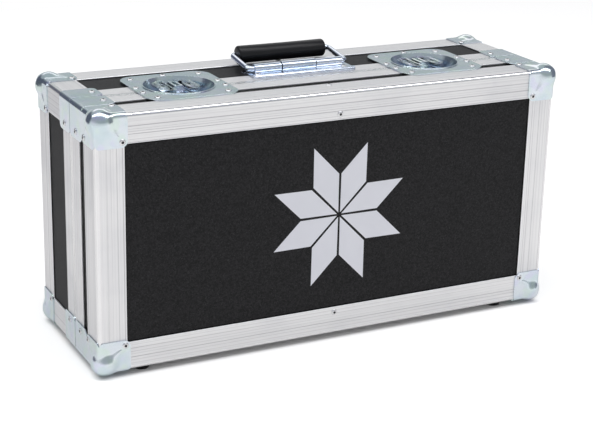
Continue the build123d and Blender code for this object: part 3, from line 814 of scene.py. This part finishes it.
# distance along the rod from the grip's middle, and radius, from one end's bore inwards
grip_profile = [
    (grip_half, grip_bore),
    (grip_half, grip_r - 0.0021),
    (grip_half - 0.0003, grip_r - 0.0012),
    (grip_half - 0.0010, grip_r - 0.0004),
    (grip_half - 0.0021, grip_r),
    (grip_half - 0.0300, grip_r - 0.00015),
    (0.0, grip_r - 0.0002),
]
grip_profile += [(-along, radius) for along, radius in grip_profile[-2::-1]]
worked = bmesh.new()
rings = []
for along, radius in grip_profile:
    ring = []
    for turn in range(grip_turns):
        angle = 2 * math.pi * turn / grip_turns
        seamed = turn % (grip_turns // 2) == 0 and radius > grip_bore
        reach = min(radius + seam_high * seamed, grip_r)
        offset = Vector((along, reach * math.cos(angle), reach * math.sin(angle)))
        ring.append(worked.verts.new(grip_mid + offset))
    rings.append(ring)
skin(worked, rings + rings[:1], around=True)
bmesh.ops.recalc_face_normals(worked, faces=worked.faces)
sleeve = piece("handle_grip_sleeve", "handle", "black_rubber", rubber_finish)
close(sleeve, worked)
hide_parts("handle_grip")

# ---------------------------------------------------------------- hinges
# Two butt hinges under the parting line: stamped leaves with rolled knuckles, and a steel
# pin with an upset head at each end.
for shell in ("lid", "base"):
    softened(shell + "_hinge_leaves", "zinc_steel", stamped_ease, zinc_finish)
lay(zinc_finish, "hinge_pins")

# ---------------------------------------------------------------- rivets
# Aluminium blind rivets hold bars, corners, latches, hinges and feet on. Each shows a domed
# flange, and a hole in its middle where the steel mandrel has snapped off; the hole's walls
# and the mandrel's end are painted near-black, painted shade over the mandrel's steel.
flange_grey = (0.70, 0.70, 0.71)
flange_bright = (0.80, 0.80, 0.80)
flange_dull = 0.22
worn_size = 0.004
worn_dull = 0.14
hole_shade_dark = (0.03, 0.03, 0.033)
hole_shade_grey = (0.10, 0.10, 0.105)
hole_mottle_size = 0.0015

flange = Finish("rivet_flange")
worn = flange.grain(flange.place(), worn_size)
flange_finish = flange.shade(
    Base_Color=flange.mix(worn, flange_grey, flange_bright),
    Metallic=1.0,
    Roughness=flange_dull + worn * worn_dull,
)
# painted shade: the hole's walls and the mandrel's end are near-black
mandrel_and_shade = Finish("rivet_mandrel_and_shade")
hole_mottle = mandrel_and_shade.grain(mandrel_and_shade.place(), hole_mottle_size)
mandrel_and_shade_finish = mandrel_and_shade.shade(
    Base_Color=mandrel_and_shade.mix(hole_mottle, hole_shade_dark, hole_shade_grey),
    Metallic=0.6,
    Roughness=0.5,
)
rivet_turns = 20
# radius and height above the seat, from the flange's rim to the floor of its hole
rivet_profile = (
    (0.00320, 0.00000),
    (0.00324, 0.00022),
    (0.00305, 0.00052),
    (0.00262, 0.00082),
    (0.00205, 0.00102),
    (0.00165, 0.00108),
    (0.00140, 0.00100),
    (0.00130, 0.00076),
    (0.00128, 0.00020),
)
hole_row = 6


def islands(mesh):
    """The separate solids of a mesh, each as an array of its points."""
    worked = bmesh.new()
    worked.from_mesh(mesh)
    bmesh.ops.remove_doubles(worked, verts=worked.verts, dist=weld)
    left = set(worked.verts)
    found = []
    while left:
        queue = [left.pop()]
        points = []
        while queue:
            vert = queue.pop()
            points.append(tuple(vert.co))
            for edge in vert.link_edges:
                other = edge.other_vert(vert)
                if other in left:
                    left.remove(other)
                    queue.append(other)
        found.append(np.array(points))
    worked.free()
    return sorted(found, key=lambda points: tuple(points.mean(axis=0).round(5)))


case_middle = Vector((0.0, 0.0, mid_z))
for shell in ("lid", "base"):
    worked = bmesh.new()
    for solid in islands(frame["nodes"][shell + "_rivets"].data):
        low = Vector(solid.min(axis=0))
        high = Vector(solid.max(axis=0))
        size = high - low
        thin = min(range(3), key=lambda axis: size[axis])
        normal = Vector((0, 0, 0))
        normal[thin] = 1.0 if (low + high)[thin] / 2 > case_middle[thin] else -1.0
        seat = (low + high) / 2 - normal * size[thin] / 2
        turned = normal.to_track_quat("Z", "Y")
        rows = []
        for radius, height in rivet_profile:
            ring = []
            for turn in range(rivet_turns):
                angle = 2 * math.pi * turn / rivet_turns
                point = Vector((radius * math.cos(angle), radius * math.sin(angle), height))
                ring.append(worked.verts.new(seat + turned @ point))
            rows.append(ring)
        for k, (lower, upper) in enumerate(zip(rows, rows[1:])):
            for turn in range(rivet_turns):
                after = (turn + 1) % rivet_turns
                face = worked.faces.new((lower[turn], lower[after], upper[after], upper[turn]))
                face.material_index = int(k >= hole_row)
        worked.faces.new(rows[-1]).material_index = 1
        worked.faces.new(rows[0][::-1])
    name = shell + "_rivet_heads"
    made = piece(name, shell, "rivet_aluminium", flange_finish, mandrel_and_shade_finish)
    close(made, worked)
    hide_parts(shell + "_rivets")

# ---------------------------------------------------------------- foam
# Charcoal polyether foam is glued behind the face of the lid and of the base, and cut on
# an egg-crate roller, so that its peaks grip the pedals. The knife leaves open cells.
foam_dark = (0.018, 0.018, 0.020)
foam_grey = (0.072, 0.072, 0.078)
foam_dust = (0.085, 0.082, 0.080)
cell_size = 0.0014
cell_deep = 0.0008
dust_size = 0.06
dust_share = 0.3

foam = Finish("grey_foam")
at = foam.place()
cell = foam.grain(at, cell_size, detail=3.0, roughness=0.7)
dust = foam.grain(at, dust_size).step(0.5, 0.8)
grey = foam.mix(cell, foam_dark, foam_grey)
foam_finish = foam.shade(
    Base_Color=foam.mix(dust * dust_share, grey, foam_dust),
    Roughness=0.95,
    Specular_IOR_Level=0.1,
    Normal=foam.relief(cell, cell_deep),
)
peak_pitch = 0.0265
peak_deep = 0.0050
foam_step = 0.0044
foam_crisp = 55.0
waist = 0.35
waist_in = 0.0006
rim_wide = 0.004
rim_deep = 0.0012
for shell, hand in (("lid", 1.0), ("base", -1.0)):
    low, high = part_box(shell + "_foam")
    glued = low.y if hand > 0 else high.y
    thick = high.y - low.y
    across = round((high.x - low.x) / foam_step)
    upward = round((high.z - low.z) / foam_step)
    worked = bmesh.new()
    layers = []
    for layer in (0.0, waist, 1.0):
        rows = []
        for i in range(across + 1):
            row = []
            for k in range(upward + 1):
                x = low.x + (high.x - low.x) * i / across
                z = low.z + (high.z - low.z) * k / upward
                rim = min(x - low.x, high.x - x, z - low.z, high.z - z)
                wave = math.cos(2 * math.pi * x / peak_pitch)
                wave *= math.cos(2 * math.pi * (z - mid_z) / peak_pitch)
                sunk = peak_deep * (1.0 - wave) / 2 + rim_deep * (1.0 - ease(rim / rim_wide))
                y = glued + hand * (thick * layer if layer < 1.0 else thick - sunk)
                # the cut sides pull in a little between glue and peaks
                if layer == waist:
                    x += waist_in * ((i == 0) - (i == across))
                    z += waist_in * ((k == 0) - (k == upward))
                row.append(worked.verts.new((x, y, z)))
            rows.append(row)
        layers.append(rows)
    skin(worked, layers[0], turned=hand < 0)
    skin(worked, layers[2], turned=hand > 0)
    border = [(i, 0) for i in range(across)]
    border += [(across, k) for k in range(upward)]
    border += [(i, upward) for i in range(across, 0, -1)]
    border += [(0, k) for k in range(upward, 0, -1)]
    for lower, upper in zip(layers, layers[1:]):
        for (i, k), (m, n) in zip(border, border[1:] + border[:1]):
            worked.faces.new((lower[i][k], lower[m][n], upper[m][n], upper[i][k]))
    loose = [vert for vert in worked.verts if not vert.link_faces]
    bmesh.ops.delete(worked, geom=loose, context="VERTS")
    bmesh.ops.recalc_face_normals(worked, faces=worked.faces)
    pad = piece(shell + "_foam_pad", shell, "foam", foam_finish)
    close(pad, worked, foam_crisp)
    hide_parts(shell + "_foam")

# ---------------------------------------------------------------- star on the lid
# A plain eight-pointed patchwork star, cut from white vinyl in eight diamonds and pressed
# on the middle of the lid's front board.
vinyl_shade = (0.76, 0.77, 0.83)
vinyl_white = (0.82, 0.83, 0.89)
mottle_size = 0.03
peel_size = 0.0007
peel_deep = 0.00004
peel_dull = 0.16
vinyl_dull = 0.42

vinyl = Finish("white_vinyl")
at = vinyl.place()
peel = vinyl.grain(at, peel_size)
mottle = vinyl.grain(at, mottle_size)
vinyl_finish = vinyl.shade(
    Base_Color=vinyl.mix(mottle, vinyl_shade, vinyl_white),
    Roughness=vinyl_dull + peel * peel_dull,
    Specular_IOR_Level=0.35,
    Normal=vinyl.relief(peel, peel_deep),
)
star_reach = 0.083
star_right = 0.003
star_gap = 0.0021
vinyl_thick = 0.00015
diamond_half = math.pi / 8
diamond_side = star_reach / (2 * math.cos(diamond_half))
# the knife leaves half of the gap along every side of a diamond
tip_in = star_gap / (2 * math.sin(diamond_half))
side_in = star_gap / 2 / math.sin(math.pi / 4)

board_low, board_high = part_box("lid_panel_front")
star_mid = Vector((star_right, board_low.y, (board_low.z + board_high.z) / 2))
lift = Vector((0.0, -vinyl_thick, 0.0))
worked = bmesh.new()
for blade in range(8):
    axis = (blade + 0.5) * math.pi / 4
    middle = Vector((math.cos(axis), 0.0, math.sin(axis))) * (star_reach / 2)
    flat = []
    for reach, angle in (
        (tip_in, axis),
        (diamond_side, axis - diamond_half),
        (star_reach - tip_in, axis),
        (diamond_side, axis + diamond_half),
    ):
        point = Vector((reach * math.cos(angle), 0.0, reach * math.sin(angle)))
        if angle != axis:
            point += (middle - point).normalized() * side_in
        flat.append(point)
    back = [worked.verts.new(star_mid + point) for point in flat]
    front = [worked.verts.new(star_mid + point + lift) for point in flat]
    worked.faces.new(front)
    worked.faces.new(back[::-1])
    for k in range(4):
        after = (k + 1) % 4
        worked.faces.new((back[k], back[after], front[after], front[k]))
bmesh.ops.recalc_face_normals(worked, faces=worked.faces)
star = piece("lid_star", "lid", "black_laminate", vinyl_finish)
close(star, worked)

# ---------------------------------------------------------------- studio
# The case stands on white paper under one long soft box. The room round it is even and
# grey where it lights the case, white where it is seen, and only what mirrors it meets a
# pale sweep with a bright window behind, a dim right side and a dark corner on the left.
floor_half = 1.7
paper_shade = (0.88, 0.88, 0.88)
paper_white = (0.90, 0.90, 0.90)
fibre_size = 0.002
paper_glow = 0.34
mirrored_glow = 0.36
mirrored_from = 0.05
mirrored_full = -0.25
glow_fade = 0.010
unlit = (0.0, 0.0, 0.0)
white = (1.0, 1.0, 1.0)

floor_mesh = bpy.data.meshes.new("floor")
floor_mesh.from_pydata(
    [(x, y, 0.0) for x in (-floor_half, floor_half) for y in (-floor_half, floor_half)],
    [],
    [(0, 2, 3, 1)],
)
floor = bpy.data.objects.new("floor", floor_mesh)
bpy.context.scene.collection.objects.link(floor)

paper = Finish("white_paper")
at = paper.place()
x, y = paper.parts(at)[:2]
fibre = paper.grain(at, fibre_size)
seen = paper.node("LightPath", output="Is Camera Ray")
mirrored = paper.node("LightPath", output="Is Glossy Ray")
mirrored = mirrored * y.step(mirrored_from, mirrored_full) * mirrored_glow
# the glow fades out under the case, where no light reaches: a painted shadow on the floor
foot_half = (case_high - case_low) / 2
under = (foot_half.x - abs(x)).step(0.0, glow_fade)
under = under * (foot_half.y - abs(y)).step(0.0, glow_fade)
floor_mesh.materials.append(
    paper.shade(
        Base_Color=paper.mix(fibre, paper_shade, paper_white),
        Roughness=0.9,
        Specular_IOR_Level=0.0,
        Emission_Color=paper.mix((seen + mirrored) * (1.0 - under), unlit, white),
        Emission_Strength=paper_glow,
    )
)

ambient = (0.50, 0.50, 0.51)
open_room = (0.40, 0.43, 0.45)
violet_front = (0.40, 0.41, 0.52)
pale_sweep = (0.47, 0.515, 0.525)
window = (1.35, 1.30, 1.30)
dim_right = (0.20, 0.21, 0.26)
dark_corner = (0.10, 0.11, 0.15)
white_floor = (0.84, 0.84, 0.85)
# each pair says where a part of the room begins and where it is full: for a turn, along the
# part's own level direction; for a rise, above the level
front_east, front_north = 0.45, 0.89
front_turn = (-0.15, -0.45)
front_rise = (0.35, 0.62)
sweep_east, sweep_north = 0.35, 0.75
sweep_turn = (0.60, 0.74)
window_sill = (0.42, 0.50)
window_head = (0.74, 0.66)
right_turn = (0.72, 0.92)
corner_west, corner_north = 0.66, 0.75
corner_turn = (0.78, 0.93)
corner_top = (0.62, 0.50)
floor_edge = (0.22, -0.06)
right_lift = 0.32
corner_lift = 0.26

sky = Finish("pale_sky", bpy.data.worlds)
east, north, rise = sky.parts(sky.node("TexCoord", output="Generated"))
level_share = 1.0 - rise * rise
level_share = level_share.math("SQRT", level_share)
front = (north * front_north + east * front_east).step(*front_turn) * rise.step(*front_rise)
sweep = ((east * sweep_east + north * sweep_north) / level_share).step(*sweep_turn)
pane = sweep * rise.step(*window_sill) * rise.step(*window_head)
right = (east / level_share).step(*right_turn)
corner = ((north * corner_north - east * corner_west) / level_share).step(*corner_turn)
corner = corner * rise.step(*corner_top)
low = rise + right * right_lift + corner * corner_lift
room = sky.mix(front, open_room, violet_front)
for share, colour in (
    (sweep, pale_sweep),
    (pane, window),
    (right, dim_right),
    (corner, dark_corner),
    (low.step(*floor_edge), white_floor),
):
    room = sky.mix(share, room, colour)
seen = sky.node("LightPath", output="Is Camera Ray")
mirrored = sky.node("LightPath", output="Is Glossy Ray")
mirrored = mirrored + sky.node("LightPath", output="Is Transmission Ray")
dome = sky.mix(mirrored.step(0.0, 1.0), ambient, room)
dome = sky.mix(seen.step(0.0, 1.0), dome, white)
backdrop = sky.node("Background", None, {"Color": dome, "Strength": 1.0})
sky.node("OutputWorld", None, {"Surface": backdrop})
bpy.context.scene.world = sky.material

# the soft box's long side is level with the view
box_at = Vector((-0.18, -0.36, 2.45))
box_aim = Vector((0.0, 0.0, 0.2))
box_long = 6.4
box_wide = 0.88
box_watts = 58.0
down = (box_aim - box_at).normalized()
along = (level - down * level.dot(down)).normalized()
turned = Matrix((along, along.cross(down), -down)).transposed()
lamp = bpy.data.lights.new("box_overhead", "AREA")
lamp.shape = "RECTANGLE"
lamp.size = box_long
lamp.size_y = box_wide
lamp.energy = box_watts
box = bpy.data.objects.new("box_overhead", lamp)
box.location = box_at
box.rotation_mode = "QUATERNION"
box.rotation_quaternion = turned.to_quaternion()
bpy.context.scene.collection.objects.link(box)
bpy.context.scene.view_settings.view_transform = "Standard"
